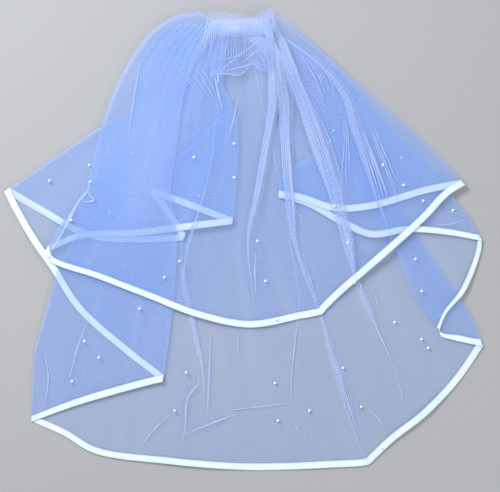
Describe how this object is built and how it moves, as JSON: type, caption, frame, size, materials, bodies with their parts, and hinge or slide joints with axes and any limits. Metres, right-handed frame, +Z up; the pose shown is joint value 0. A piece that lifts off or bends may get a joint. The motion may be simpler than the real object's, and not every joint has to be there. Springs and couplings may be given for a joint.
{
  "type": "communion veil",
  "caption": "Two-tier tulle veil laid flat in fan folds, satin ribbon edge, gathered under a ruched band on a hair comb.",
  "frame": {"origin": "middle of the footprint, on the surface that the veil lies on", "axes": "+X to the right of the veil as seen from above with the comb at the top, +Y from the hem to the comb, +Z up"},
  "size_m": [0.7658, 0.7368, 0.0283],
  "materials": {
    "tulle": "sheer soft net, slight sheen",
    "ribbon_satin": "satin weave",
    "comb_plastic": "clear moulded plastic",
    "pearl": "pearl lustre"
  },
  "bodies": {
    "root": {"tulle_oval": "tulle", "ribbon_binding": "ribbon_satin", "header_frill": "tulle", "comb_band": "ribbon_satin", "comb": "comb_plastic"}
  },
  "joints": []
}
